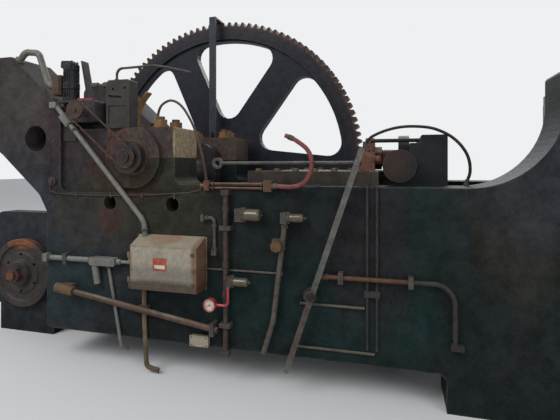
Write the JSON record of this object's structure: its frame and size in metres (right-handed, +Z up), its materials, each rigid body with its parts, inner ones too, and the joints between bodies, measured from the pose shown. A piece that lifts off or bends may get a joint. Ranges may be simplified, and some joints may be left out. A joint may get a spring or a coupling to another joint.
{
  "type": "mechanical stamping press",
  "caption": "Geared gap-frame power press lying on its back: cast frame, crankshaft with open bull gear and pinion, slide in gibs, bolster bed, control box, trip lever and pipework.",
  "frame": {"origin": "point on the back face that the press lies on, midway between the side frames, below the working face of the bolster plate", "axes": "+X from the crown to the feet, along the slide's travel towards the bed; +Z up, from the back of the press to its front; +Y towards the bull gear's side"},
  "size_m": [3.97, 1.4145, 2.1263],
  "materials": {
    "cast_paint": "worn matt green-black paint over cast iron",
    "bolster_steel": "oiled ground steel plate",
    "near_cap_iron": "greasy rusty casting",
    "far_cap_iron": "greasy rusty casting",
    "stud_steel": "rusty steel",
    "nut_rust": "orange rust",
    "bronze": "dull bearing bronze",
    "gib_iron": "oiled machined iron",
    "bracket_paint": "worn dark paint",
    "post_iron": "dirty machined casting",
    "valve_metal": "dirty brass",
    "band_rust": "yellow-brown rust",
    "tube_dark": "dull dark tube",
    "brown_hose": "rusty brown braided hose",
    "drive_iron": "dirty iron",
    "switch_black": "worn black paint",
    "cover_red": "faded red",
    "chain_steel": "greasy rusty chain",
    "motor_black": "black paint",
    "terminal_rust": "rusty painted box",
    "plate_dark": "dark steel",
    "flex_grey": "dull grey flexible conduit",
    "zinc": "dull zinc with dirt",
    "box_cream": "cream paint with rust at the edges",
    "contactor_black": "black moulding",
    "drain_rust": "pale rusty pipe",
    "rod_rust": "brown rust",
    "socket_rust": "brown rust",
    "pipe_iron": "rusty black pipe",
    "copper": "dull copper",
    "pipe_grey": "dull grey pipe",
    "die_cast": "dirty die casting",
    "bowl_amber": "yellowed bowl",
    "gauge_red": "red rim with a pale dial",
    "junction_cream": "pale cream paint",
    "pipe_dark": "dark painted pipe",
    "conduit_dark": "dark paint",
    "clamp_steel": "dull steel",
    "pivot_steel": "greasy dark iron",
    "block_rust": "brown rust",
    "red_rubber": "faded red rubber",
    "black_rubber": "black rubber",
    "crank_steel": "oiled forging with light rust",
    "gear_iron": "dark painted spokes and rusty teeth",
    "disc_rust": "brown rust",
    "pinion_steel": "rusty teeth",
    "slide_paint": "dark green-grey paint",
    "screw_rust": "orange-brown rust and grease",
    "lever_steel": "dull flat steel",
    "knob_brown": "brown plastic knob"
  },
  "bodies": {
    "press_frame": {"frame": "cast_paint", "bolster_plate": "bolster_steel", "near_bearing_cap": "near_cap_iron", "far_bearing_cap": "far_cap_iron", "cap_studs": "stud_steel", "cap_nuts": "nut_rust", "main_bushes": "bronze", "gibs": "gib_iron", "gib_screws": "stud_steel", "backshaft_bushes": "bronze", "guard_bracket": "bracket_paint", "bracket_screws": "stud_steel", "bearing_post": "post_iron", "post_valve": "valve_metal", "band_strip": "band_rust", "oil_tube": "tube_dark", "cap_hose": "brown_hose", "drive_bracket": "drive_iron", "switch_housing": "switch_black", "switch_cover": "cover_red", "switch_chain": "chain_steel", "drive_motor": "motor_black", "terminal_box": "terminal_rust", "lean_plate": "plate_dark", "crown_conduit": "flex_grey", "diagonal_conduit": "zinc", "level_conduit": "zinc", "conduit_leg": "zinc", "control_box": "box_cream", "contactor": "contactor_black", "box_drain": "drain_rust", "brace_rod": "rod_rust", "brace_socket": "socket_rust", "air_riser": "pipe_iron", "lube_lines": "copper", "air_pipes": "pipe_grey", "filter_heads": "die_cast", "filter_bowls": "bowl_amber", "gauge_case": "gauge_red", "junction_box": "junction_cream", "corner_pipe": "pipe_dark", "twin_conduits": "conduit_dark", "pipe_clamps": "clamp_steel", "lever_bracket": "pivot_steel", "hose_block": "block_rust", "red_hose": "red_rubber", "black_hose": "black_rubber"},
    "crank": {"crankshaft": "crank_steel", "bull_gear": "gear_iron", "gear_key": "stud_steel", "crank_sprocket": "chain_steel"},
    "back_shaft": {"backshaft": "disc_rust", "pinion": "pinion_steel"},
    "switch_shaft": {"switch_rotor": "chain_steel"},
    "ram": {"slide": "slide_paint"},
    "screw": {"adjusting_screw": "screw_rust"},
    "lever": {"trip_lever": "lever_steel"},
    "rod": {"control_rod": "lever_steel"},
    "door": {"box_door": "box_cream"},
    "knob": {"regulator_knob": "knob_brown"}
  },
  "joints": [
    {"name": "crank_spin", "type": "hinge", "parent": "press_frame", "child": "crank", "pos_m": [-2.075, 0, 1.06], "axis": [0, 1, 0], "continuous": true},
    {"name": "backshaft_spin", "type": "hinge", "parent": "press_frame", "child": "back_shaft", "pos_m": [-2.995, 0, 0.36794], "axis": [0, 1, 0], "continuous": true},
    {"name": "switch_spin", "type": "hinge", "parent": "press_frame", "child": "switch_shaft", "pos_m": [-2.36, -0.6, 1.3], "axis": [0, 1, 0], "continuous": true},
    {"name": "slide_travel", "type": "slide", "parent": "press_frame", "child": "ram", "axis": [1, 0, 0], "range_m": [0, 0.19]},
    {"name": "screw_turn", "type": "hinge", "parent": "ram", "child": "screw", "pos_m": [-0.745, 0, 1.06], "axis": [1, 0, 0], "continuous": true},
    {"name": "lever_swing", "type": "hinge", "parent": "press_frame", "child": "lever", "pos_m": [-1.157, -0.602, 0.449], "axis": [0, 1, 0], "range_deg": [-6, 6]},
    {"name": "rod_pivot", "type": "hinge", "parent": "lever", "child": "rod", "pos_m": [-0.954, -0.588, 1.03], "axis": [0, 1, 0], "range_deg": [-6, 6]},
    {"name": "door_hinge", "type": "hinge", "parent": "press_frame", "child": "door", "pos_m": [-2.0285, -0.654, 0.535], "axis": [0, 0, -1], "range_deg": [0, 110]},
    {"name": "knob_turn", "type": "hinge", "parent": "press_frame", "child": "knob", "pos_m": [-1.304, -0.6, 0.663], "axis": [0, 1, 0], "range_deg": [-150, 150]}
  ],
  "couplings": [
    {"joint": "backshaft_spin", "follows": "crank_spin", "ratio": -8.7143},
    {"joint": "switch_spin", "follows": "crank_spin", "ratio": 1},
    {"joint": "rod_pivot", "follows": "lever_swing", "ratio": -1}
  ]
}
